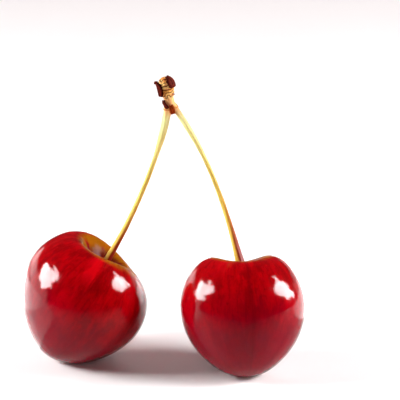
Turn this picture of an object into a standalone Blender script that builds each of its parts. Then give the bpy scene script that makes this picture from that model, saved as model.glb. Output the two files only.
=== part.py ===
"""Two sweet cherries on their stalks, joined at a short woody spur.

Metres, +Z up. The pair stands on its fruits, with the middle of its footprint
at the origin. +X runs from the left fruit to the right one, and -Y is the front.
"""

import math

import bmesh
import bpy
from mathutils import Euler, Vector
from mathutils.geometry import interpolate_bezier

MM = 0.001
GAP = 0.3 * MM              # clearance between pieces that touch

# Fruits: lengths in millimetres, angles in degrees.
#   cheek, half_height      half the width across the cheeks, half the height
#   shoulder, waist         shares by which the profile swells high up and at mid-height
#   flatness                thickness through the seam, as a share of the width
#   dimple, dimple_depth    reach and depth of the stalk cavity
#   dimple_x, dimple_y      how far the cavity's lowest point lies off the axis
#   lobes                   rise of both cheeks at the cavity's rim
#   rise, rise_turn         rise of the rim on one side, and the way to that side
#   seam_turn               the way to the seam, counted like rise_turn from the fruit's own X axis
#   tip_shift               how far the tip lies off the axis
#   spin                    turn about the fruit's own axis, before it leans
FRUITS = {
    "cherry_left": dict(
        x=-17.5, y=5.5, cheek=14.38, half_height=14.0, shoulder=0.163, waist=-0.024,
        flatness=0.913, dimple=5.2, dimple_depth=6.05, dimple_x=-1.05, dimple_y=-0.85,
        lobes=0.57, rise=0.68, rise_turn=-111.0, seam_turn=90.0, tip_shift=1.0,
        spin=-62.5, lean_back=4.4, lean_side=32.7,
    ),
    "cherry_right": dict(
        x=17.3, y=-2.1, cheek=12.94, half_height=13.7, shoulder=0.11, waist=-0.025,
        flatness=0.935, dimple=4.75, dimple_depth=4.5, dimple_x=0.0, dimple_y=0.0,
        lobes=0.62, rise=0.17, rise_turn=90.0, seam_turn=-90.0, tip_shift=0.14,
        spin=9.0, lean_back=22.0, lean_side=-2.9,
    ),
}
SEAM_DEPTH = 0.022          # share of the radius
SEAM_WIDTH = 0.3            # radians
REST_DEPTH = 0.45 * MM      # how far the soft fruit flattens where it rests
FRUIT_SEGMENTS = 44
FRUIT_RINGS = 34

# Spur: heights run from the fork, along the spur's own axis.
SPUR_BASE = Vector((2.1, 5.0, 55.9)) * MM
SPUR_LEAN = math.radians(-12.0)
SPUR_HEIGHT = 6.9 * MM
FORK_RADIUS = 1.6 * MM
NECK_RADIUS = 1.05 * MM
NECK_HEIGHT = 2.5 * MM
HEAD_RADIUS = 1.52 * MM
HEAD_RINGS = 5
RING_DEPTH = 0.11 * MM
PROFILE_STEPS = 36
SPUR_SIDES = 28

# Stalks, in millimetres: each swells towards its foot in the fruit, over a share
# "flare" of its length, and ends "foot_rise" above the floor of the stalk cavity.
# "leave" and "arrive" are the handles of its curve, from the foot and from the fork.
STALKS = {
    "stalk_left": dict(
        fruit="cherry_left", foot_rise=1.1, fork_offset=-0.72, radius=0.48, foot=0.85,
        flare=0.20, top=0.80, leave=(6.3, 0.0, 10.2), arrive=(-2.15, -0.1, -11.2),
    ),
    "stalk_right": dict(
        fruit="cherry_right", foot_rise=0.85, fork_offset=0.96, radius=0.47, foot=1.08,
        flare=0.16, top=0.64, leave=(-2.6, 2.6, 10.8), arrive=(7.1, -1.0, -10.1),
    ),
}
TOP_FROM = 0.68             # share of the length where it starts to widen to the top
TOP_TO = 0.90               # share where it has its full width
STALK_POINTS = 22

# Scales and bracts: "turn" is the way each one faces, in degrees from +X about
# the spur's axis, and "slant" how far it turns from bottom to top. Lengths in millimetres.
SCALES = {
    "bud_scale_left": dict(
        turn=195, slant=0, low=3.15, length=3.0, spread=46, radius=2.1, flare=0.08, curl=0.0,
    ),
    "bud_scale_right": dict(
        turn=-25, slant=0, low=4.6, length=2.2, spread=50, radius=1.85, flare=-0.1, curl=0.6,
    ),
    "bud_scale_back": dict(
        turn=95, slant=0, low=3.0, length=3.2, spread=44, radius=1.85, flare=0.0, curl=0.25,
    ),
}
BRACTS = {
    "bract_front": dict(
        turn=-80, slant=0, low=-0.85, length=1.8, spread=21, radius=1.95, flare=-0.34, curl=0.0,
    ),
    "bract_left": dict(
        turn=232, slant=-40, low=0.62, length=1.45, spread=11, radius=1.72, flare=-0.34, curl=0.0,
    ),
}
SCALE_THICKNESS = 0.30 * MM
BRACT_THICKNESS = 0.24 * MM
SCALE_CELLS = 8

# Colour, roughness and metallic value of each material.
MATERIALS = {
    "skin": ((0.42, 0.0, 0.01, 1.0), 0.12, 0.0),
    "stalk": ((0.72, 0.62, 0.16, 1.0), 0.45, 0.0),
    "bark": ((0.66, 0.36, 0.12, 1.0), 0.7, 0.0),
    "scale": ((0.12, 0.02, 0.008, 1.0), 0.65, 0.0),
}


def clear_scene():
    for obj in list(bpy.data.objects):
        bpy.data.objects.remove(obj, do_unlink=True)


def make_material(name):
    color, roughness, metallic = MATERIALS[name]
    material = bpy.data.materials.new(name)
    material.use_nodes = True
    shader = material.node_tree.nodes["Principled BSDF"]
    shader.inputs["Base Color"].default_value = color
    shader.inputs["Roughness"].default_value = roughness
    shader.inputs["Metallic"].default_value = metallic
    return material


def add_object(name, data, material, parent=None):
    obj = bpy.data.objects.new(name, data)
    data.materials.append(material)
    bpy.data.collections["cherries_on_stalks"].objects.link(obj)
    obj.parent = parent
    return obj


def mesh_from(name, bm):
    mesh = bpy.data.meshes.new(name)
    bm.to_mesh(mesh)
    bm.free()
    mesh.shade_smooth()
    mesh.set_sharp_from_angle(angle=math.radians(35))
    return mesh


def smoothstep(value):
    value = min(max(value, 0.0), 1.0)
    return value * value * (3.0 - 2.0 * value)


def bell(distance, width):
    return math.exp(-(distance / width) ** 2)


# ---- fruits ----

def fruit_point(direction, fruit):
    """Point of the fruit's skin for a point of the unit sphere, fruit upright."""
    polar = math.acos(max(-1.0, min(1.0, direction.z)))
    around = math.atan2(direction.y, direction.x)
    cosine = math.cos(polar)
    dimple = fruit["dimple"]
    profile = 1.0 + fruit["shoulder"] * cosine + fruit["waist"] * math.cos(2.0 * polar)
    radius = fruit["cheek"] * math.sin(polar) * profile
    x = radius * math.cos(around)
    y = radius * math.sin(around)
    height = fruit["half_height"] * cosine
    reach = math.hypot(x - fruit["dimple_x"], y - fruit["dimple_y"])
    height -= fruit["dimple_depth"] * bell(reach, dimple) * smoothstep(cosine / 0.5)
    rim = bell(radius - 1.6 * dimple, 1.3 * dimple) * (1.0 - bell(radius, 0.5 * dimple))
    rise = fruit["rise"] * math.cos(around - math.radians(fruit["rise_turn"]))
    lobes = fruit["lobes"] * math.cos(2.0 * around)
    height += (lobes + rise) * rim * smoothstep(cosine / 0.7)
    from_seam = math.remainder(around - math.radians(fruit["seam_turn"]), math.tau)
    shrink = 1.0 - SEAM_DEPTH * bell(from_seam, SEAM_WIDTH) * math.sin(polar)
    x += fruit["tip_shift"] * 0.25 * (1.0 - cosine) ** 2
    return Vector((x * shrink, y * fruit["flatness"] * shrink, height)) * MM


def flatten_below(bm, down, rest):
    """Cut the mesh with the plane that it rests on and close it with one flat face."""
    cut = bmesh.ops.bisect_plane(
        bm, geom=bm.verts[:] + bm.edges[:] + bm.faces[:],
        plane_co=down * rest, plane_no=down, clear_outer=True, dist=0.0001 * MM,
    )
    edges = [item for item in cut["geom_cut"] if isinstance(item, bmesh.types.BMEdge)]
    bmesh.ops.edgenet_fill(bm, edges=edges)
    bmesh.ops.recalc_face_normals(bm, faces=bm.faces[:])


def add_fruit(name, fruit, material):
    bm = bmesh.new()
    bmesh.ops.create_uvsphere(bm, u_segments=FRUIT_SEGMENTS, v_segments=FRUIT_RINGS, radius=1.0)
    for vert in bm.verts:
        vert.co = fruit_point(vert.co, fruit)
    angles = (-fruit["lean_back"], fruit["lean_side"], fruit["spin"])
    turn = Euler([math.radians(angle) for angle in angles], "ZXY")
    down = turn.to_matrix().inverted() @ Vector((0.0, 0.0, -1.0))
    rest = max(vert.co.dot(down) for vert in bm.verts) - REST_DEPTH
    flatten_below(bm, down, rest)
    obj = add_object(name, mesh_from(name, bm), material)
    obj.rotation_mode = "ZXY"
    obj.rotation_euler = turn
    obj.location = (fruit["x"] * MM, fruit["y"] * MM, rest)


# ---- spur ----

def spur_radius(height):
    """Radius of the spur at a height above the fork: flared foot, neck, ringed head."""
    foot = FORK_RADIUS - NECK_RADIUS
    radius = NECK_RADIUS + foot * (1.0 - smoothstep(height / (0.55 * NECK_HEIGHT)))
    head = smoothstep((height - 0.85 * NECK_HEIGHT) / (0.7 * NECK_HEIGHT))
    radius += (HEAD_RADIUS - NECK_RADIUS) * head
    climb = (height - NECK_HEIGHT) / (SPUR_HEIGHT - NECK_HEIGHT)
    if climb > 0.0:
        radius -= RING_DEPTH * (1.0 + math.cos(math.tau * HEAD_RINGS * climb)) / 2.0
        crown = max(0.0, (climb - 0.55) / 0.45)
        radius *= math.sqrt(max(0.0, 1.0 - crown ** 2.6))
    return radius


def add_spur(material):
    bm = bmesh.new()
    heights = [SPUR_HEIGHT * (1.0 - (i / PROFILE_STEPS) ** 1.2) for i in range(PROFILE_STEPS + 1)]
    outline = [Vector((spur_radius(height), 0.0, height)) for height in heights]
    outline.append(Vector((0.0, 0.0, 0.0)))
    verts = [bm.verts.new(point) for point in outline]
    for upper, lower in zip(verts, verts[1:]):
        bm.edges.new((upper, lower))
    spur = add_object("spur", mesh_from("spur", bm), material)
    screw = spur.modifiers.new("turn", "SCREW")
    screw.steps = SPUR_SIDES
    screw.render_steps = SPUR_SIDES
    screw.use_merge_vertices = True
    screw.merge_threshold = 0.01 * MM
    spur.location = SPUR_BASE
    spur.rotation_euler = (0.0, SPUR_LEAN, 0.0)
    bpy.context.view_layer.update()
    return spur


# ---- stalks ----

def stalk_radius(along, stalk):
    """Radius at a share of the stalk's length, counted from its foot."""
    swell = (stalk["foot"] - stalk["radius"]) * math.exp(-along / stalk["flare"])
    top = smoothstep((along - TOP_FROM) / (TOP_TO - TOP_FROM))
    return (stalk["radius"] + swell + (stalk["top"] - stalk["radius"]) * top) * MM


def add_stalk(name, stalk, material, spur):
    fruit_obj = bpy.data.objects[stalk["fruit"]]
    floor = fruit_point(Vector((0.0, 0.0, 1.0)), FRUITS[stalk["fruit"]])
    foot = fruit_obj.matrix_world @ (floor + Vector((0.0, 0.0, stalk["foot_rise"])) * MM)
    top = spur.matrix_world @ Vector((stalk["fork_offset"] * MM, 0.0, -GAP))
    leave = foot + Vector(stalk["leave"]) * MM
    arrive = top + Vector(stalk["arrive"]) * MM
    points = interpolate_bezier(foot, leave, arrive, top, STALK_POINTS)
    curve = bpy.data.curves.new(name, "CURVE")
    curve.dimensions = "3D"
    curve.bevel_depth = 1.0
    curve.bevel_resolution = 4
    curve.use_fill_caps = True
    spline = curve.splines.new("POLY")
    spline.points.add(STALK_POINTS - 1)
    for i, (target, point) in enumerate(zip(spline.points, points)):
        target.co = (*point, 1.0)
        target.radius = stalk_radius(i / (STALK_POINTS - 1), stalk)
    return add_object(name, curve, material)


# ---- scales and bracts ----

def scale_point(across, up, scale):
    """Point of a scale's inner face: across runs from -1 to 1 and up from 0 to 1."""
    width = 0.35 + 0.65 * math.sin(math.pi * (0.12 + 0.8 * up)) ** 0.7
    turn = scale["turn"] + scale["slant"] * (up - 0.5) + scale["spread"] * across * width
    radius = (scale["radius"] + scale["flare"] * up * up) * (1.0 - scale["curl"] * up ** 3)
    height = scale["low"] + scale["length"] * up
    turn = math.radians(turn)
    return Vector((radius * math.cos(turn), radius * math.sin(turn), height)) * MM


def add_scale(name, scale, thickness, material, spur):
    bm = bmesh.new()
    bmesh.ops.create_grid(bm, x_segments=SCALE_CELLS, y_segments=SCALE_CELLS, size=1.0)
    for vert in bm.verts:
        vert.co = scale_point(vert.co.x, (vert.co.y + 1.0) / 2.0, scale)
    obj = add_object(name, mesh_from(name, bm), material, parent=spur)
    shell = obj.modifiers.new("thickness", "SOLIDIFY")
    shell.thickness = thickness
    shell.offset = 1.0
    return obj


def centre_footprint(objects):
    """Move everything so that the middle of the footprint is the origin."""
    bpy.context.view_layer.update()
    graph = bpy.context.evaluated_depsgraph_get()
    corners = []
    for obj in objects:
        mesh = obj.evaluated_get(graph).to_mesh()
        corners += [obj.matrix_world @ vert.co for vert in mesh.vertices]
        obj.evaluated_get(graph).to_mesh_clear()
    middle = [(min(c[i] for c in corners) + max(c[i] for c in corners)) / 2.0 for i in (0, 1)]
    for obj in objects:
        if obj.parent is None:
            obj.location -= Vector((*middle, 0.0))


def main():
    clear_scene()
    bpy.context.scene.collection.children.link(bpy.data.collections.new("cherries_on_stalks"))
    materials = {name: make_material(name) for name in MATERIALS}
    for name, fruit in FRUITS.items():
        add_fruit(name, fruit, materials["skin"])
    bpy.context.view_layer.update()
    spur = add_spur(materials["bark"])
    for name, stalk in STALKS.items():
        add_stalk(name, stalk, materials["stalk"], spur)
    for name, scale in SCALES.items():
        add_scale(name, scale, SCALE_THICKNESS, materials["scale"], spur)
    for name, bract in BRACTS.items():
        add_scale(name, bract, BRACT_THICKNESS, materials["scale"], spur)
    centre_footprint(list(bpy.data.objects))


main()
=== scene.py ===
import math
import bmesh
import bpy
from mathutils import Euler, Matrix, Vector, noise


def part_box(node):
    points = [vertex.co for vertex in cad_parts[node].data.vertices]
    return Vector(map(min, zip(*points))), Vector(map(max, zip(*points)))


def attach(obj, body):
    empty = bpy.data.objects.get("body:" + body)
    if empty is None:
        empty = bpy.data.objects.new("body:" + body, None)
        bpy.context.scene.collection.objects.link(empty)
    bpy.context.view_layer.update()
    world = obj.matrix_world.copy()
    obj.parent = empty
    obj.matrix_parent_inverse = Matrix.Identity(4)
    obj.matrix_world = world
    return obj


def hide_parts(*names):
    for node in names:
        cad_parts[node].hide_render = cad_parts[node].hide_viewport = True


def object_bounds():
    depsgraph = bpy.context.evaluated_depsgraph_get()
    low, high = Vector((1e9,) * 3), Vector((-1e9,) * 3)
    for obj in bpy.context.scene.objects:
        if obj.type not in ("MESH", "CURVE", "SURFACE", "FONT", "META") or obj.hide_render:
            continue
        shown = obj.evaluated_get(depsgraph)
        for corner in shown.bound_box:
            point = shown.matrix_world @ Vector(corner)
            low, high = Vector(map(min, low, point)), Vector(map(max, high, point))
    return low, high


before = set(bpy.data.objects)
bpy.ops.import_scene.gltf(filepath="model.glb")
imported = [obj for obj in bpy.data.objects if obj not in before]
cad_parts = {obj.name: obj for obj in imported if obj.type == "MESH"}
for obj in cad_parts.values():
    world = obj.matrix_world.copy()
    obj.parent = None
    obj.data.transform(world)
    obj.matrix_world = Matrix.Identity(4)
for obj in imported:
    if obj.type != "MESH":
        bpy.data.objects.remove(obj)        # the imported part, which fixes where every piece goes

# A pair of sweet cherries on stalks that meet at one woody spur.
# Each fruit, stalk and scale is modelled afresh and stands where its CAD node stands.

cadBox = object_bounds()
mm = 0.001


class Wire:
    # One output of a node. Sums of wires add Math nodes, so a pattern reads as an expression.
    def __init__(self, tree, socket=None):
        self.tree = tree
        self.socket = socket

    def feed(self, node, inputs):
        for name, value in inputs.items():
            if isinstance(value, Wire):
                self.tree.links.new(value.socket, node.inputs[name])
            else:
                node.inputs[name].default_value = value

    def add(self, kind, settings, inputs, output=0):
        node = self.tree.nodes.new("ShaderNode" + kind)
        for name, value in settings.items():
            setattr(node, name, value)
        self.feed(node, inputs)
        return Wire(self.tree, node.outputs[output])

    def maths(self, operation, first, second=0.0):
        return self.add("Math", {"operation": operation}, {0: first, 1: second})

    def __add__(self, other):
        return self.maths("ADD", self, other)

    def __sub__(self, other):
        return self.maths("SUBTRACT", self, other)

    def __rsub__(self, other):
        return self.maths("SUBTRACT", other, self)

    def __mul__(self, other):
        return self.maths("MULTIPLY", self, other)

    __radd__ = __add__
    __rmul__ = __mul__

    def ramp(self, low, high):
        # 0 at low, 1 at high and smooth between them; low may be the larger
        settings = {"interpolation_type": "SMOOTHSTEP"}
        return self.add("MapRange", settings, {"Value": self, "From Min": low, "From Max": high})

    def tint(self, under, over):
        # the colour under, covered by the colour over as far as this value says
        return self.add("Mix", {"data_type": "RGBA"}, {0: self, 6: under, 7: over}, 2)

    def stretch(self, scale):
        # a vector scaled along each axis
        return self.add("VectorMath", {"operation": "MULTIPLY"}, {0: self, 1: scale})

    def part(self, axis):
        return self.add("SeparateXYZ", {}, {0: self}, axis)

    def noise(self, scale, detail=2.0, roughness=0.5, distortion=0.0):
        # this wire is the place that the noise is read at
        inputs = {"Vector": self, "Scale": scale, "Detail": detail, "Roughness": roughness}
        return self.add("TexNoise", {}, {**inputs, "Distortion": distortion})

    def spots(self, scale, size):
        # small round spots, 1 in their middles
        return self.add("TexVoronoi", {}, {"Vector": self, "Scale": scale}).ramp(size, 0.4 * size)


def startMaterial(name):
    material = bpy.data.materials.new(name)
    material.use_nodes = True
    wire = Wire(material.node_tree)
    place = wire.add("TexCoord", {}, {}, "Object")
    return material, material.node_tree.nodes["Principled BSDF"], wire, place


def rgb(red, green, blue):
    return (red, green, blue, 1.0)


def smoothStep(value):
    value = min(max(value, 0.0), 1.0)
    return value * value * (3.0 - 2.0 * value)


def bell(value, width):
    return math.exp(-(value / width) ** 2)


def roughen(bm, depth, size, seed):
    # pushes the surface in and out along its normals, but not where it rests
    calmTo = 0.1 * mm
    fadeOver = 2.0 * mm
    bm.normal_update()
    for vert in bm.verts:
        lump = noise.noise(vert.co / size + Vector((seed, 0.0, 0.0)))
        vert.co += vert.normal * depth * lump * smoothStep((vert.co.z - calmTo) / fadeOver)


def setOnNode(bm, turn, node):
    # turns the mesh and moves its box to the middle and the foot of the CAD node's box
    bmesh.ops.transform(bm, matrix=turn, verts=bm.verts)
    low = Vector([min(vert.co[i] for vert in bm.verts) for i in range(3)])
    high = Vector([max(vert.co[i] for vert in bm.verts) for i in range(3)])
    nodeLow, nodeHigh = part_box(node)
    shift = (nodeLow + nodeHigh - low - high) / 2.0
    shift.z = nodeLow.z - low.z
    bmesh.ops.translate(bm, vec=shift, verts=bm.verts)
    return Matrix.Translation(shift) @ turn


def unitTube(bm, sides, rings):
    # an upright closed tube of radius 1, from height 0 to height 1
    bmesh.ops.create_cone(bm, cap_ends=True, segments=sides, radius1=1.0, radius2=1.0, depth=1.0)
    upright = [edge for edge in bm.edges if abs(edge.verts[0].co.z - edge.verts[1].co.z) > 0.5]
    bmesh.ops.subdivide_edges(bm, edges=upright, cuts=rings - 1)
    bmesh.ops.translate(bm, vec=(0.0, 0.0, 0.5), verts=bm.verts)


def finishPiece(bm, name, material, node):
    bmesh.ops.recalc_face_normals(bm, faces=bm.faces)
    mesh = bpy.data.meshes.new(name)
    bm.to_mesh(mesh)
    bm.free()
    mesh.shade_smooth()
    mesh.set_sharp_from_angle(angle=math.radians(50))
    mesh.materials.append(material)
    piece = bpy.data.objects.new(name, mesh)
    bpy.context.scene.collection.objects.link(piece)
    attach(piece, "root")
    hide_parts(node)
    print(name, "has", len(mesh.polygons), "faces")
    return piece


leftCherry = {
    "node": "cherry_left",
    "cheek": 14.38, "halfHeight": 14.0, "shoulder": 0.163, "waist": -0.024, "flatness": 0.913,
    "dimple": 5.2, "dimpleDepth": 6.05, "dimpleX": -1.05, "dimpleY": -0.85,
    "lobes": 0.57, "rise": 0.68, "riseTurn": -111.0, "seamTurn": 90.0, "tipShift": 1.0,
    "spin": -62.5, "leanBack": 4.4, "leanSide": 32.7,
    "blushTurn": -46.0, "blush": 0.7, "seed": 3.0,
}
rightCherry = {
    "node": "cherry_right",
    "cheek": 12.94, "halfHeight": 13.7, "shoulder": 0.11, "waist": -0.025, "flatness": 0.935,
    "dimple": 4.75, "dimpleDepth": 4.5, "dimpleX": 0.0, "dimpleY": 0.0,
    "lobes": 0.62, "rise": 0.17, "riseTurn": 90.0, "seamTurn": -90.0, "tipShift": 0.14,
    "spin": 9.0, "leanBack": 22.0, "leanSide": -2.9,
    "blushTurn": -122.0, "blush": 0.3, "seed": 11.0,
}
fruitShape = {
    "segments": 240, "rings": 170,
    "seamDepth": 0.022, "seamWidth": 0.3,
    "creaseDepth": 0.10, "creaseWidth": 0.035,     # fine line along the seam, mm and radians
    "restDepth": 0.45,                             # how far the soft flesh settles, mm
    "lumpDepth": 0.09, "lumpSize": 5.5,            # slow unevenness of the skin, mm
    "dentDepth": 0.018, "dentSize": 1.1,           # fine unevenness, which breaks up reflections
    "scarRadius": 0.9, "scarDepth": 0.25,          # where the flower's style fell off, at the tip
    "rimAt": 1.6, "rimWidth": 1.3, "rimInside": 0.5,     # the raised rim of the cavity, in dimple radii
    "dimpleFade": 0.5, "rimFade": 0.7,             # below these cosines the cavity and its rim fade out
}


def fromSeam(around, fruit):
    return math.remainder(around - math.radians(fruit["seamTurn"]), math.tau)


def fruitPoint(polar, around, fruit):
    # point of the skin, fruit upright, stalk end up, in metres
    shape = fruitShape
    dimple = fruit["dimple"]
    cosine = math.cos(polar)
    profile = 1.0 + fruit["shoulder"] * cosine + fruit["waist"] * math.cos(2.0 * polar)
    radius = fruit["cheek"] * math.sin(polar) * profile
    x = radius * math.cos(around)
    y = radius * math.sin(around)
    height = fruit["halfHeight"] * cosine
    reach = math.hypot(x - fruit["dimpleX"], y - fruit["dimpleY"])
    height -= fruit["dimpleDepth"] * bell(reach, dimple) * smoothStep(cosine / shape["dimpleFade"])
    rim = bell(radius - shape["rimAt"] * dimple, shape["rimWidth"] * dimple)
    rim *= 1.0 - bell(radius, shape["rimInside"] * dimple)
    rise = fruit["rise"] * math.cos(around - math.radians(fruit["riseTurn"]))
    lobes = fruit["lobes"] * math.cos(2.0 * around)
    height += (lobes + rise) * rim * smoothStep(cosine / shape["rimFade"])
    seam = fromSeam(around, fruit)
    shrink = 1.0 - shape["seamDepth"] * bell(seam, shape["seamWidth"]) * math.sin(polar)
    shrink -= shape["creaseDepth"] / fruit["cheek"] * bell(seam, shape["creaseWidth"]) * math.sin(polar)
    if cosine < 0.0:
        height += shape["scarDepth"] * bell(radius, shape["scarRadius"])
    x += fruit["tipShift"] * ((1.0 - cosine) / 2.0) ** 2
    return Vector((x * shrink, y * fruit["flatness"] * shrink, height)) * mm


def fruitTurn(fruit):
    angles = (-fruit["leanBack"], fruit["leanSide"], fruit["spin"])
    return Euler([math.radians(angle) for angle in angles], "ZXY").to_matrix().to_4x4()


def flattenUnder(bm, rise):
    # cuts the lowest part off level and closes the cut
    lowest = min(vert.co.z for vert in bm.verts)
    cut = bmesh.ops.bisect_plane(
        bm, geom=bm.verts[:] + bm.edges[:] + bm.faces[:],
        plane_co=(0.0, 0.0, lowest + rise), plane_no=(0.0, 0.0, -1.0), clear_outer=True,
    )
    rim = [item for item in cut["geom_cut"] if isinstance(item, bmesh.types.BMEdge)]
    bmesh.ops.edgenet_fill(bm, edges=rim)


def skinMaterial(name, fruit):
    material, shader, wire, place = startMaterial(name)
    rind = wire.add("Attribute", {"attribute_name": "rind"}, {}, "Vector")
    polar = rind.part("Z")
    seam = wire.add("Attribute", {"attribute_name": "fromSeam"}, {}, "Fac")
    # slow streaks from the stalk to the tip, finer ones over them, then clouds and specks
    streaks = rind.stretch((5.0, 5.0, 1.6)).noise(1.0, 4.0, 0.62, 0.4)
    fineStreaks = rind.stretch((30.0, 30.0, 6.0)).noise(1.0, 4.0, 0.65, 0.5)
    cloud = place.noise(300.0, 4.0, 0.62)
    speckle = place.noise(1700.0, 3.0, 0.6)
    color = streaks.ramp(0.34, 0.64).tint(rgb(0.20, 0.0, 0.001), rgb(0.34, 0.0, 0.002))
    color = (fineStreaks.ramp(0.52, 0.68) * 0.42).tint(color, rgb(0.46, 0.0, 0.005))
    color = (fineStreaks.ramp(0.46, 0.32) * 0.35).tint(color, rgb(0.11, 0.0, 0.001))
    color = (cloud.ramp(0.52, 0.68) * 0.35).tint(color, rgb(0.14, 0.0, 0.001))
    color = (speckle.ramp(0.54, 0.68) * 0.35).tint(color, rgb(0.10, 0.0, 0.001))
    color = (place.spots(800.0, 0.12) * 0.35).tint(color, rgb(0.50, 0.01, 0.01))
    # a brighter streak that runs down from the stalk
    turn = math.radians(fruit["blushTurn"])
    facing = rind.part("X") * math.cos(turn) + rind.part("Y") * math.sin(turn)
    streak = (facing + (cloud + fineStreaks - 1.0) * 0.02).ramp(0.988, 1.0)
    streak = streak * polar.ramp(0.46, 0.62) * polar.ramp(1.2, 0.85)
    color = (streak * fruit["blush"]).tint(color, rgb(0.55, 0.001, 0.005))
    # darker, duller and faintly bluish towards the tip: partly the fruit's own tone, partly painted shade of
    # the underside and a painted reflection of the table
    color = ((polar + (cloud - 0.5) * 0.5).ramp(1.1, 2.1) * 0.75).tint(color, rgb(0.135, 0.0, 0.008))
    # green-brown wall of the stalk cavity, and painted shade on its deep floor
    wall = polar.ramp(0.60, 0.44) * (cloud + streaks).ramp(0.70, 1.05)
    color = (wall * 0.85).tint(color, rgb(0.26, 0.095, 0.002))
    # painted shade deep in the cavity floor
    color = (polar.ramp(0.38, 0.24) * 0.9).tint(color, rgb(0.09, 0.002, 0.004))
    color = (seam.ramp(0.08, 0.0) * 0.35).tint(color, rgb(0.10, 0.0, 0.002))
    scar = polar.ramp(math.pi - 0.09, math.pi - 0.04)
    color = scar.tint(color, rgb(0.30, 0.16, 0.06))
    rough = speckle.ramp(0.3, 0.7) * 0.05 + 0.06 + scar * 0.5
    height = cloud * 0.5 + fineStreaks * 0.16 + speckle * 0.06
    bump = wire.add("Bump", {}, {"Strength": 0.10, "Distance": 0.6 * mm, "Height": height})
    wire.feed(shader, {
        "Base Color": color, "Roughness": rough, "Normal": bump, "IOR": 1.21,
        "Subsurface Weight": 0.15, "Subsurface Scale": 1.0 * mm, "Subsurface Radius": (1.0, 0.05, 0.04),
    })
    # the cavity is nearly dull
    inputs = {"Base Color": color, "Roughness": 0.6, "Normal": bump, "Specular IOR Level": 0.0}
    dull = wire.add("BsdfPrincipled", {}, inputs)
    gloss = Wire(material.node_tree, shader.outputs["BSDF"])
    both = wire.add("MixShader", {}, {0: polar.ramp(0.56, 0.42) * 0.9, 1: gloss, 2: dull})
    wire.feed(material.node_tree.nodes["Material Output"], {"Surface": both})
    return material


def makeCherry(name, fruit):
    shape = fruitShape
    bm = bmesh.new()
    # cosine and sine round the core, then the angle from the stalk's end
    rind = bm.verts.layers.float_vector.new("rind")
    seamLayer = bm.verts.layers.float.new("fromSeam")
    bmesh.ops.create_uvsphere(bm, u_segments=shape["segments"], v_segments=shape["rings"], radius=1.0)
    for vert in bm.verts:
        polar = math.acos(max(-1.0, min(1.0, vert.co.z)))
        around = math.atan2(vert.co.y, vert.co.x)
        vert[rind] = Vector((math.cos(around), math.sin(around), polar))
        vert[seamLayer] = abs(fromSeam(around, fruit))
        vert.co = fruitPoint(polar, around, fruit)
    bmesh.ops.transform(bm, matrix=fruitTurn(fruit), verts=bm.verts)
    flattenUnder(bm, shape["restDepth"] * mm)
    place = setOnNode(bm, Matrix.Identity(4), fruit["node"]) @ fruitTurn(fruit)
    roughen(bm, shape["lumpDepth"] * mm, shape["lumpSize"] * mm, fruit["seed"])
    roughen(bm, shape["dentDepth"] * mm, shape["dentSize"] * mm, fruit["seed"])
    finishPiece(bm, name, skinMaterial(name + "Skin", fruit), fruit["node"])
    return place


spur = {
    "node": "spur", "lean": -12.0, "height": 6.9,
    "forkRadius": 1.6, "neckRadius": 1.05, "neckHeight": 2.5, "headRadius": 1.56,
    "sides": 120, "rings": 170,
    "footTo": 0.55, "headFrom": 0.85, "headOver": 0.7,     # shares of the neck's height
    "crownFrom": 0.55, "crownRound": 2.6, "crowding": 1.2,
    "scars": 5.4, "scarDepth": 0.24, "scarTilt": 0.07, "scarTurn": 0.6, "scarWander": 0.14,
    "scarClosed": 0.35, "scarOpens": 0.88,                 # shares of the way from scar to scar
    "fibreDepth": 0.05,
    "budTurn": -0.35, "budHeight": 2.95, "budSize": 0.26, "budRise": 0.30,
}


def spurScar(climb, around):
    # how deep a point lies in the gap under a ring scar, 0 to 1
    tilt = spur["scarTilt"] * math.sin(around - spur["scarTurn"])
    ring = Vector((1.6 * math.cos(around), 1.6 * math.sin(around), 3.0 * climb))
    wander = spur["scarWander"] * noise.noise(ring)
    place = (climb + tilt + wander) * spur["scars"]
    share = place - math.floor(place)
    opens = spur["scarOpens"]
    return 1.0 - smoothStep(share / spur["scarClosed"]) + smoothStep((share - opens) / (1.0 - opens))


def spurRadius(height, around):
    # radius at a height above the fork, in mm: flared foot, neck, ringed head
    foot = spur["forkRadius"] - spur["neckRadius"]
    radius = spur["neckRadius"] + foot * (1.0 - smoothStep(height / (spur["footTo"] * spur["neckHeight"])))
    head = smoothStep((height / spur["neckHeight"] - spur["headFrom"]) / spur["headOver"])
    radius += (spur["headRadius"] - spur["neckRadius"]) * head
    climb = (height - spur["neckHeight"]) / (spur["height"] - spur["neckHeight"])
    gap = spurScar(climb, around) * smoothStep((climb + 0.1) / 0.15) * smoothStep((1.0 - climb) / 0.1)
    radius -= spur["scarDepth"] * gap
    crown = max(0.0, (climb - spur["crownFrom"]) / (1.0 - spur["crownFrom"]))
    radius *= math.sqrt(max(0.0, 1.0 - crown ** spur["crownRound"]))
    return radius, gap


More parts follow.
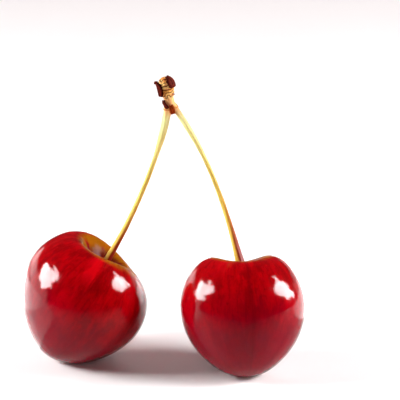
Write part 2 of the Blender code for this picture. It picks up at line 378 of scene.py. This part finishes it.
def barkMaterial():
    material, shader, wire, place = startMaterial("spurBark")
    bark = wire.add("Attribute", {"attribute_name": "bark"}, {}, "Vector")
    gap = bark.part("X")
    climb = bark.part("Y")
    dark = bark.part("Z")
    grain = place.stretch((1.0, 1.0, 0.3)).noise(2600.0, 3.0, 0.6)
    patch = place.noise(900.0, 2.0)
    ruddy = place.noise(1500.0, 3.0, 0.6)
    color = patch.ramp(0.35, 0.65).tint(rgb(0.70, 0.30, 0.06), rgb(0.95, 0.66, 0.22))
    color = (ruddy.ramp(0.50, 0.60) * 0.75).tint(color, rgb(0.56, 0.13, 0.05))
    color = (grain.ramp(0.45, 0.75) * 0.7).tint(color, rgb(0.40, 0.10, 0.01))
    color = (climb.ramp(0.48, 0.25) * climb.ramp(0.0, 0.12) * 0.6).tint(color, rgb(0.90, 0.50, 0.22))
    color = (climb.ramp(0.16, 0.02) * grain.ramp(0.25, 0.60) * 0.7).tint(color, rgb(0.30, 0.05, 0.006))
    # painted shade in the gaps under the ring scars
    color = (gap.ramp(0.20, 0.70) * 0.97).tint(color, rgb(0.09, 0.012, 0.001))
    color = dark.tint(color, rgb(0.04, 0.006, 0.001))
    bump = wire.add("Bump", {}, {"Strength": 0.5, "Distance": 0.12 * mm, "Height": grain + patch * 0.5})
    rough = grain * 0.25 + 0.55
    wire.feed(shader, {
        "Base Color": color, "Roughness": rough, "Normal": bump, "IOR": 1.06,
    })
    return material


def makeSpur():
    bm = bmesh.new()
    # gap of a scar, share of the height, dark spot
    bark = bm.verts.layers.float_vector.new("bark")
    unitTube(bm, spur["sides"], spur["rings"])
    for vert in bm.verts:
        share = vert.co.z
        around = math.atan2(vert.co.y, vert.co.x)
        height = spur["height"] * (1.0 - (1.0 - share) ** spur["crowding"])
        radius, gap = spurRadius(height, around)
        across = math.remainder(around - spur["budTurn"], math.tau) * radius
        bud = bell(math.hypot(across, height - spur["budHeight"]), spur["budSize"])
        fibre = noise.noise(Vector((5.0 * math.cos(around), 5.0 * math.sin(around), 0.8 * height)))
        radius += spur["fibreDepth"] * fibre * min(1.0, radius) + spur["budRise"] * bud
        vert[bark] = Vector((gap, share, bud))
        vert.co = Vector((radius * math.cos(around), radius * math.sin(around), height)) * mm
    bmesh.ops.remove_doubles(bm, verts=bm.verts, dist=0.002 * mm)
    turn = Matrix.Rotation(math.radians(spur["lean"]), 4, "Y")
    place = setOnNode(bm, turn, spur["node"])
    finishPiece(bm, "woodySpur", barkMaterial(), spur["node"])
    return place


leftStalk = {
    "node": "stalk_left", "footRise": 1.1, "forkOffset": -0.72,
    "radius": 0.48, "foot": 0.85, "flare": 0.20, "top": 0.80,
    "leave": (6.3, 0.0, 10.2), "arrive": (-2.15, -0.1, -11.2), "seed": 1.0,
}
rightStalk = {
    "node": "stalk_right", "footRise": 0.85, "forkOffset": 0.96,
    "radius": 0.47, "foot": 1.08, "flare": 0.16, "top": 0.64,
    "leave": (-2.6, 2.6, 10.8), "arrive": (7.1, -1.0, -10.1), "seed": 7.0,
}
stalkShape = {
    "sides": 40, "rings": 260,
    "footSink": 0.035, "topSink": 0.02,       # shares of the length
    "topFrom": 0.68, "topTo": 0.90, "gap": 0.3,
    "ribs": 5, "ribDepth": 0.05, "ribTwist": 1.4, "lumpDepth": 0.05,
}


def stalkRadius(along, around, stalk):
    # radius in mm at a share of the length from the fruit, with faint ribs that turn slowly
    shape = stalkShape
    swell = (stalk["foot"] - stalk["radius"]) * math.exp(-max(along, 0.0) / stalk["flare"])
    top = smoothStep((along - shape["topFrom"]) / (shape["topTo"] - shape["topFrom"]))
    radius = stalk["radius"] + swell + (stalk["top"] - stalk["radius"]) * top
    rib = math.cos(shape["ribs"] * around + shape["ribTwist"] * along * math.tau)
    lump = noise.noise(Vector((math.cos(around), math.sin(around), 14.0 * along + stalk["seed"])))
    return radius * (1.0 + shape["ribDepth"] * rib + shape["lumpDepth"] * lump)


def stalkMaterial():
    material, shader, wire, place = startMaterial("stalkSkin")
    stem = wire.add("Attribute", {"attribute_name": "stem"}, {}, "Vector")
    side = stem.part("X")
    along = stem.part("Z")
    fibre = stem.stretch((2.6, 2.6, 5.0)).noise(1.0, 4.0, 0.6)
    mottle = place.noise(800.0, 3.0, 0.6)
    low = along.ramp(0.75, 0.05)
    color = along.ramp(0.55, 1.0).tint(rgb(0.76, 0.60, 0.13), rgb(0.80, 0.82, 0.36))
    color = (low * 0.8).tint(color, rgb(0.80, 0.57, 0.09))
    # orange-brown on the right side: partly the stalk's own tinge, partly painted shade on the side away
    # from the light
    blushAndPaintedShade = (side + (fibre - 0.5) * 1.2).ramp(-0.25, 0.55)
    color = (blushAndPaintedShade * (low * 0.5 + 0.38)).tint(color, rgb(0.46, 0.16, 0.012))
    color = (mottle.ramp(0.54, 0.74) * 0.4 * (low + 0.3)).tint(color, rgb(0.36, 0.12, 0.015))
    # near the fruit the right side turns orange, then dark red: partly the stalk's own red, partly painted
    # shade
    foot = along.ramp(0.45, 0.05)
    color = (foot * (side + (fibre - 0.5)).ramp(-0.7, 0.0) * 0.85).tint(color, rgb(0.50, 0.11, 0.006))
    color = (foot * (side + (fibre - 0.5)).ramp(-0.3, 0.25) * 0.95).tint(color, rgb(0.20, 0.005, 0.004))
    neck = (along + (fibre - 0.5) * 0.10).ramp(0.93, 1.0)
    color = (neck * 0.8).tint(color, rgb(0.66, 0.30, 0.11))
    bump = wire.add("Bump", {}, {"Strength": 0.35, "Distance": 0.1 * mm, "Height": fibre + mottle * 0.4})
    rough = mottle * 0.2 + 0.34
    wire.feed(shader, {
        "Base Color": color, "Roughness": rough, "Normal": bump, "IOR": 1.12,
        "Subsurface Weight": 0.12, "Subsurface Scale": 0.4 * mm, "Subsurface Radius": (1.0, 0.7, 0.2),
    })
    return material


def makeStalk(name, stalk, fruit, fruitPlace, spurPlace, material):
    shape = stalkShape
    foot = fruitPlace @ (fruitPoint(0.0, 0.0, fruit) + Vector((0.0, 0.0, stalk["footRise"])) * mm)
    top = spurPlace @ (Vector((stalk["forkOffset"], 0.0, -shape["gap"])) * mm)
    handles = (foot, foot + Vector(stalk["leave"]) * mm, top + Vector(stalk["arrive"]) * mm, top)
    bm = bmesh.new()
    # right or left, back or front, then the share of the length
    stem = bm.verts.layers.float_vector.new("stem")
    unitTube(bm, shape["sides"], shape["rings"])
    for vert in bm.verts:
        along = -shape["footSink"] + vert.co.z * (1.0 + shape["footSink"] + shape["topSink"])
        around = math.atan2(vert.co.y, vert.co.x)
        rest = 1.0 - along
        weights = (rest ** 3, 3.0 * rest ** 2 * along, 3.0 * rest * along ** 2, along ** 3)
        slopes = (-rest ** 2, rest * (rest - 2.0 * along), along * (2.0 * rest - along), along ** 2)
        middle = sum((handle * weight for handle, weight in zip(handles, weights)), Vector())
        course = sum((handle * slope for handle, slope in zip(handles, slopes)), Vector()).normalized()
        right = (Vector((1.0, 0.0, 0.0)) - course * course.x).normalized()
        back = course.cross(right)
        radius = stalkRadius(along, around, stalk) * mm
        vert[stem] = Vector((math.cos(around), math.sin(around), along))
        vert.co = middle + (right * math.cos(around) + back * math.sin(around)) * radius
    finishPiece(bm, name, material, stalk["node"])


# turn, low and length place a scale on the spur, in degrees and in mm up from the fork
# spread is half its width in degrees; slant is how far it turns from bottom to top
scales = {
    "leftScale": {
        "node": "bud_scale_left", "turn": 195.0, "slant": 0.0, "low": 3.15, "length": 3.0, "spread": 46.0,
        "radius": 1.95, "flare": 0.08, "curl": 0.0, "thickness": 0.42, "seed": 2.0,
    },
    "rightScale": {
        "node": "bud_scale_right", "turn": -25.0, "slant": 0.0, "low": 4.6, "length": 2.2, "spread": 50.0,
        "radius": 1.74, "flare": -0.1, "curl": 0.6, "thickness": 0.34, "seed": 5.0,
    },
    "backScale": {
        "node": "bud_scale_back", "turn": 95.0, "slant": 0.0, "low": 3.0, "length": 3.2, "spread": 44.0,
        "radius": 1.74, "flare": 0.0, "curl": 0.25, "thickness": 0.3, "seed": 9.0,
    },
    "frontBract": {
        "node": "bract_front", "turn": -80.0, "slant": 0.0, "low": -0.85, "length": 1.8, "spread": 21.0,
        "radius": 1.87, "flare": -0.34, "curl": 0.0, "thickness": 0.3, "seed": 14.0,
    },
    "leftBract": {
        "node": "bract_left", "turn": 232.0, "slant": -40.0, "low": 0.62, "length": 1.45, "spread": 11.0,
        "radius": 1.62, "flare": -0.34, "curl": 0.0, "thickness": 0.3, "seed": 21.0,
    },
}
scaleShape = {
    "cells": 44, "fray": 0.16, "pleats": 0.07, "tear": 0.14,
    "narrowest": 0.35, "widthFrom": 0.12, "widthTo": 0.92, "bluntness": 0.7,
}


def scalePoint(across, up, scale):
    # point of the inner face, across from -1 to 1 and up from 0 to 1, with a frayed edge and pleats
    shape = scaleShape
    seed = scale["seed"]
    fray = shape["fray"] * noise.noise(Vector((3.0 * across, 5.0 * up, seed)))
    arch = math.sin(math.pi * (shape["widthFrom"] + (shape["widthTo"] - shape["widthFrom"]) * up))
    width = shape["narrowest"] + (1.0 - shape["narrowest"]) * arch ** shape["bluntness"] + fray
    turn = math.radians(scale["turn"] + scale["slant"] * (up - 0.5) + scale["spread"] * across * width)
    radius = (scale["radius"] + scale["flare"] * up * up) * (1.0 - scale["curl"] * up ** 3)
    radius += shape["pleats"] * noise.noise(Vector((4.5 * across, 1.2 * up, seed + 4.0)))
    torn = shape["tear"] * noise.noise(Vector((4.0 * across, 0.0, seed + 8.0))) * up
    height = scale["low"] + scale["length"] * (up + torn)
    return Vector((radius * math.cos(turn), radius * math.sin(turn), height)) * mm


def scaleMaterial(name, dark, light, edgeColor):
    material, shader, wire, place = startMaterial(name)
    flake = wire.add("Attribute", {"attribute_name": "flake"}, {}, "Vector")
    fibre = flake.stretch((6.0, 1.2, 1.0)).noise(1.0, 4.0, 0.65)
    patch = place.noise(1100.0, 3.0)
    edge = flake.part("X").maths("ABSOLUTE", flake.part("X")).ramp(0.6, 1.0)
    color = fibre.ramp(0.42, 0.62).tint(dark, light)
    color = (patch.ramp(0.50, 0.60) * 0.6).tint(color, light)
    color = ((edge + patch - 0.5).ramp(0.0, 0.8) * 0.8).tint(color, edgeColor)
    bump = wire.add("Bump", {}, {"Strength": 0.6, "Distance": 0.1 * mm, "Height": fibre + patch * 0.4})
    rough = patch * 0.3 + 0.5
    wire.feed(shader, {
        "Base Color": color, "Roughness": rough, "Normal": bump, "IOR": 1.04,
    })
    return material


def makeScale(name, scale, spurPlace, material):
    bm = bmesh.new()
    flake = bm.verts.layers.float_vector.new("flake")     # across, up and the scale's own number
    bmesh.ops.create_grid(bm, x_segments=scaleShape["cells"], y_segments=scaleShape["cells"], size=1.0)
    for vert in bm.verts:
        across, up = vert.co.x, (vert.co.y + 1.0) / 2.0
        vert[flake] = Vector((across, up, scale["seed"]))
        vert.co = scalePoint(across, up, scale)
    bmesh.ops.transform(bm, matrix=spurPlace, verts=bm.verts)
    piece = finishPiece(bm, name, material, scale["node"])
    wall = piece.modifiers.new("wall", "SOLIDIFY")
    wall.thickness = scale["thickness"] * mm
    wall.offset = 1.0


# painted shade: the table's colour darkens towards the front, from litTo to dimFrom, in metres
floorLook = {"radius": 3.0, "color": rgb(0.90, 0.90, 0.90), "dimColor": rgb(0.42, 0.42, 0.43),
             "litTo": -0.030, "dimFrom": -0.078, "roughness": 0.8}
# how bright the rosy surround is: in front, low down in front, behind and overhead
world = {"color": rgb(1.0, 0.50, 0.52), "front": 0.02, "horizon": 0.06, "back": 0.15, "top": 0.06}
# soft lamps at the sides and behind, and a low wide light in front: none shows in the fruits' gloss
softLamps = {
    "leftSoft": {"place": (-0.42, -0.02, 0.24), "size": 0.20, "power": 3.8},
    "rightSoft": {"place": (0.43, -0.02, 0.23), "size": 0.20, "power": 3.8},
    "backSoft": {"place": (0.05, 0.90, 0.35), "size": 0.50, "power": 2.8},
}
frontLight = {"elevation": 25.0, "strength": 0.5, "softness": 25.0, "color": (1.0, 0.62, 0.63)}
# windows, which only show in the gloss: each is made of leaves that overlap
# a leaf: length, width, roll in degrees, then how far it sits to the right and up
windows = {
    "left": {"place": (-0.606, -0.017, 0.365), "glow": 60.0,
             "leaves": ((0.40, 0.29, 50.0, -0.03, -0.03), (0.22, 0.15, 75.0, -0.19, -0.03),
                        (0.24, 0.14, 10.0, 0.07, 0.13), (0.22, 0.14, 70.0, 0.12, 0.03),
                        (0.26, 0.14, 30.0, 0.0, -0.16), (0.22, 0.14, 20.0, -0.13, -0.13),
                        (0.12, 0.07, 60.0, -0.27, 0.02), (0.10, 0.06, 20.0, -0.05, 0.185),
                        (0.10, 0.06, -40.0, 0.20, 0.12), (0.10, 0.06, 80.0, -0.06, -0.24),
                        (0.10, 0.06, -10.0, 0.13, -0.13))},
    "right": {"place": (0.66, 0.06, 0.345), "glow": 60.0,
              "leaves": ((0.60, 0.24, -46.0, 0.0, 0.0), (0.40, 0.20, -20.0, -0.07, 0.09),
                         (0.40, 0.19, -75.0, 0.07, -0.06), (0.33, 0.18, -40.0, -0.11, 0.0),
                         (0.31, 0.16, -58.0, 0.09, 0.08), (0.22, 0.12, 12.0, -0.03, 0.16),
                         (0.19, 0.11, -8.0, 0.13, -0.17), (0.17, 0.11, -70.0, -0.03, -0.17),
                         (0.13, 0.08, 30.0, -0.26, 0.15), (0.13, 0.08, 80.0, 0.23, -0.26),
                         (0.13, 0.08, 60.0, 0.13, 0.24))},
}
# bright parts of the table and the backdrop, which only show in the gloss too
# turn says how a card lies, in degrees; unturned it faces down
cards = {
    "leftTable": {"place": (-0.323, 0.02, 0.001), "turn": (180.0, 0.0, 0.0), "size": (0.60, 0.20),
                  "shape": "ELLIPSE", "glow": 1.3},
    "leftTableBack": {"place": (-0.334, 0.043, 0.002), "turn": (180.0, 0.0, 0.0), "size": (0.60, 0.18),
                      "shape": "ELLIPSE", "glow": 1.7},
    "rightTable": {"place": (0.19, 0.18, 0.001), "turn": (180.0, 0.0, 48.0), "size": (0.44, 0.19),
                   "shape": "ELLIPSE", "glow": 2.3},
    "backTable": {"place": (-0.01, 0.33, 0.001), "turn": (180.0, 0.0, 0.0), "size": (0.17, 0.44),
                  "shape": "ELLIPSE", "glow": 2.5},
    "backLeft": {"place": (-0.44, 0.21, 0.07), "turn": (90.0, 0.0, -115.0), "size": (0.70, 0.14),
                 "shape": "RECTANGLE", "glow": 4.0},
    "backRight": {"place": (0.29, 0.41, 0.05), "turn": (90.0, 0.0, 145.0), "size": (0.34, 0.10),
                  "shape": "RECTANGLE", "glow": 1.2},
}
# aim is from the middle of the CAD box, in mm
cameraView = {"aim": (8.0, -3.5, 6.05), "elevation": 18.0, "distance": 400.0, "lens": 172.08, "sensor": 36.0}


def makeFloor():
    bm = bmesh.new()
    bmesh.ops.create_circle(bm, cap_ends=True, segments=64, radius=floorLook["radius"])
    mesh = bpy.data.meshes.new("floor")
    bm.to_mesh(mesh)
    bm.free()
    material, shader, wire, place = startMaterial("whiteTable")
    haze = place.noise(9.0) * 0.06 + floorLook["roughness"]
    # painted shade towards the front of the table
    dim = place.part("Y").ramp(floorLook["litTo"], floorLook["dimFrom"])
    color = dim.tint(floorLook["color"], floorLook["dimColor"])
    wire.feed(shader, {"Base Color": color, "Roughness": haze, "Specular IOR Level": 0.0})
    mesh.materials.append(material)
    floor = bpy.data.objects.new("floor", mesh)
    bpy.context.scene.collection.objects.link(floor)


def makeWorld():
    sky = bpy.data.worlds.new("studio")
    sky.use_nodes = True
    wire = Wire(sky.node_tree)
    direction = wire.add("TexCoord", {}, {}, "Generated")
    height = direction.part("Z")
    back = direction.part("Y").ramp(-0.35, 0.55)
    dim = height.ramp(0.35, 0.0) * (world["horizon"] - world["front"]) + world["front"]
    dim = dim + height.ramp(0.35, 0.9) * (world["top"] - world["front"])
    light = back * world["back"] + (1 - back) * dim
    wire.feed(sky.node_tree.nodes["Background"], {"Color": world["color"], "Strength": light})
    bpy.context.scene.world = sky


def facingObject(place):
    # where a lamp stands when it looks at the object from place
    return Matrix.Translation(place) @ Vector(place).to_track_quat("Z", "Y").to_matrix().to_4x4()


def addLamp(name, stand, size, power, shape="ELLIPSE"):
    light = bpy.data.lights.new(name, "AREA")
    light.shape = shape
    light.size, light.size_y = size
    light.energy = power
    holder = bpy.data.objects.new(name, light)
    holder.matrix_world = stand
    bpy.context.scene.collection.objects.link(holder)
    return holder


def makeSoftLamps():
    for name, lamp in softLamps.items():
        holder = addLamp(name, facingObject(lamp["place"]), (lamp["size"], lamp["size"]), lamp["power"])
        holder.visible_glossy = False
    front = bpy.data.lights.new("frontSoft", "SUN")
    front.energy = frontLight["strength"]
    front.color = frontLight["color"]
    front.angle = math.radians(frontLight["softness"])
    holder = bpy.data.objects.new("frontSoft", front)
    holder.rotation_euler = (math.radians(90.0 - frontLight["elevation"]), 0.0, 0.0)
    holder.visible_glossy = False
    bpy.context.scene.collection.objects.link(holder)


def makeWindows():
    for side, window in windows.items():
        middle = facingObject(window["place"])
        for number, (length, width, roll, right, up) in enumerate(window["leaves"], 1):
            power = window["glow"] * length * width * math.pi ** 2 / 4.0
            turn = Matrix.Rotation(math.radians(roll), 4, "Z")
            stand = middle @ Matrix.Translation((right, up, 0.0)) @ turn
            holder = addLamp(f"{side}Window{number}", stand, (length, width), power)
            holder.visible_diffuse = False


def makeCards():
    for name, card in cards.items():
        width, height = card["size"]
        power = card["glow"] * width * height * math.pi
        turn = Euler([math.radians(angle) for angle in card["turn"]]).to_matrix().to_4x4()
        stand = Matrix.Translation(card["place"]) @ turn
        holder = addLamp(name, stand, card["size"], power, card["shape"])
        holder.visible_diffuse = False
        holder.visible_camera = False


def makeCamera():
    camera = bpy.data.cameras.new("camera")
    camera.lens = cameraView["lens"]
    camera.sensor_width = cameraView["sensor"]
    camera.clip_start = 0.001
    holder = bpy.data.objects.new("camera", camera)
    low, high = cadBox
    tilt = math.radians(cameraView["elevation"])
    back = Vector((0.0, -math.cos(tilt), math.sin(tilt)))
    aim = (low + high) / 2.0 + Vector(cameraView["aim"]) * mm
    holder.location = aim + back * cameraView["distance"] * mm
    holder.rotation_euler = (math.pi / 2.0 - tilt, 0.0, 0.0)
    bpy.context.scene.collection.objects.link(holder)
    bpy.context.scene.camera = holder
    bpy.context.scene.view_settings.view_transform = "Standard"


makeCamera()
makeFloor()
makeWorld()
makeSoftLamps()
makeWindows()
makeCards()
print("studio is set")
leftPlace = makeCherry("leftCherry", leftCherry)
rightPlace = makeCherry("rightCherry", rightCherry)
print("fruits are made")
spurPlace = makeSpur()
stalkSkin = stalkMaterial()
makeStalk("leftStalk", leftStalk, leftCherry, leftPlace, spurPlace, stalkSkin)
makeStalk("rightStalk", rightStalk, rightCherry, rightPlace, spurPlace, stalkSkin)
print("stalks and spur are made")
paperyScale = scaleMaterial("paperyScale", rgb(0.018, 0.001, 0.0), rgb(0.16, 0.016, 0.008),
                            rgb(0.020, 0.001, 0.0))
redBract = scaleMaterial("redBract", rgb(0.10, 0.006, 0.0), rgb(0.40, 0.045, 0.004),
                         rgb(0.55, 0.14, 0.03))
for name, scale in scales.items():
    makeScale(name, scale, spurPlace, redBract if name == "frontBract" else paperyScale)
print("scales are made")
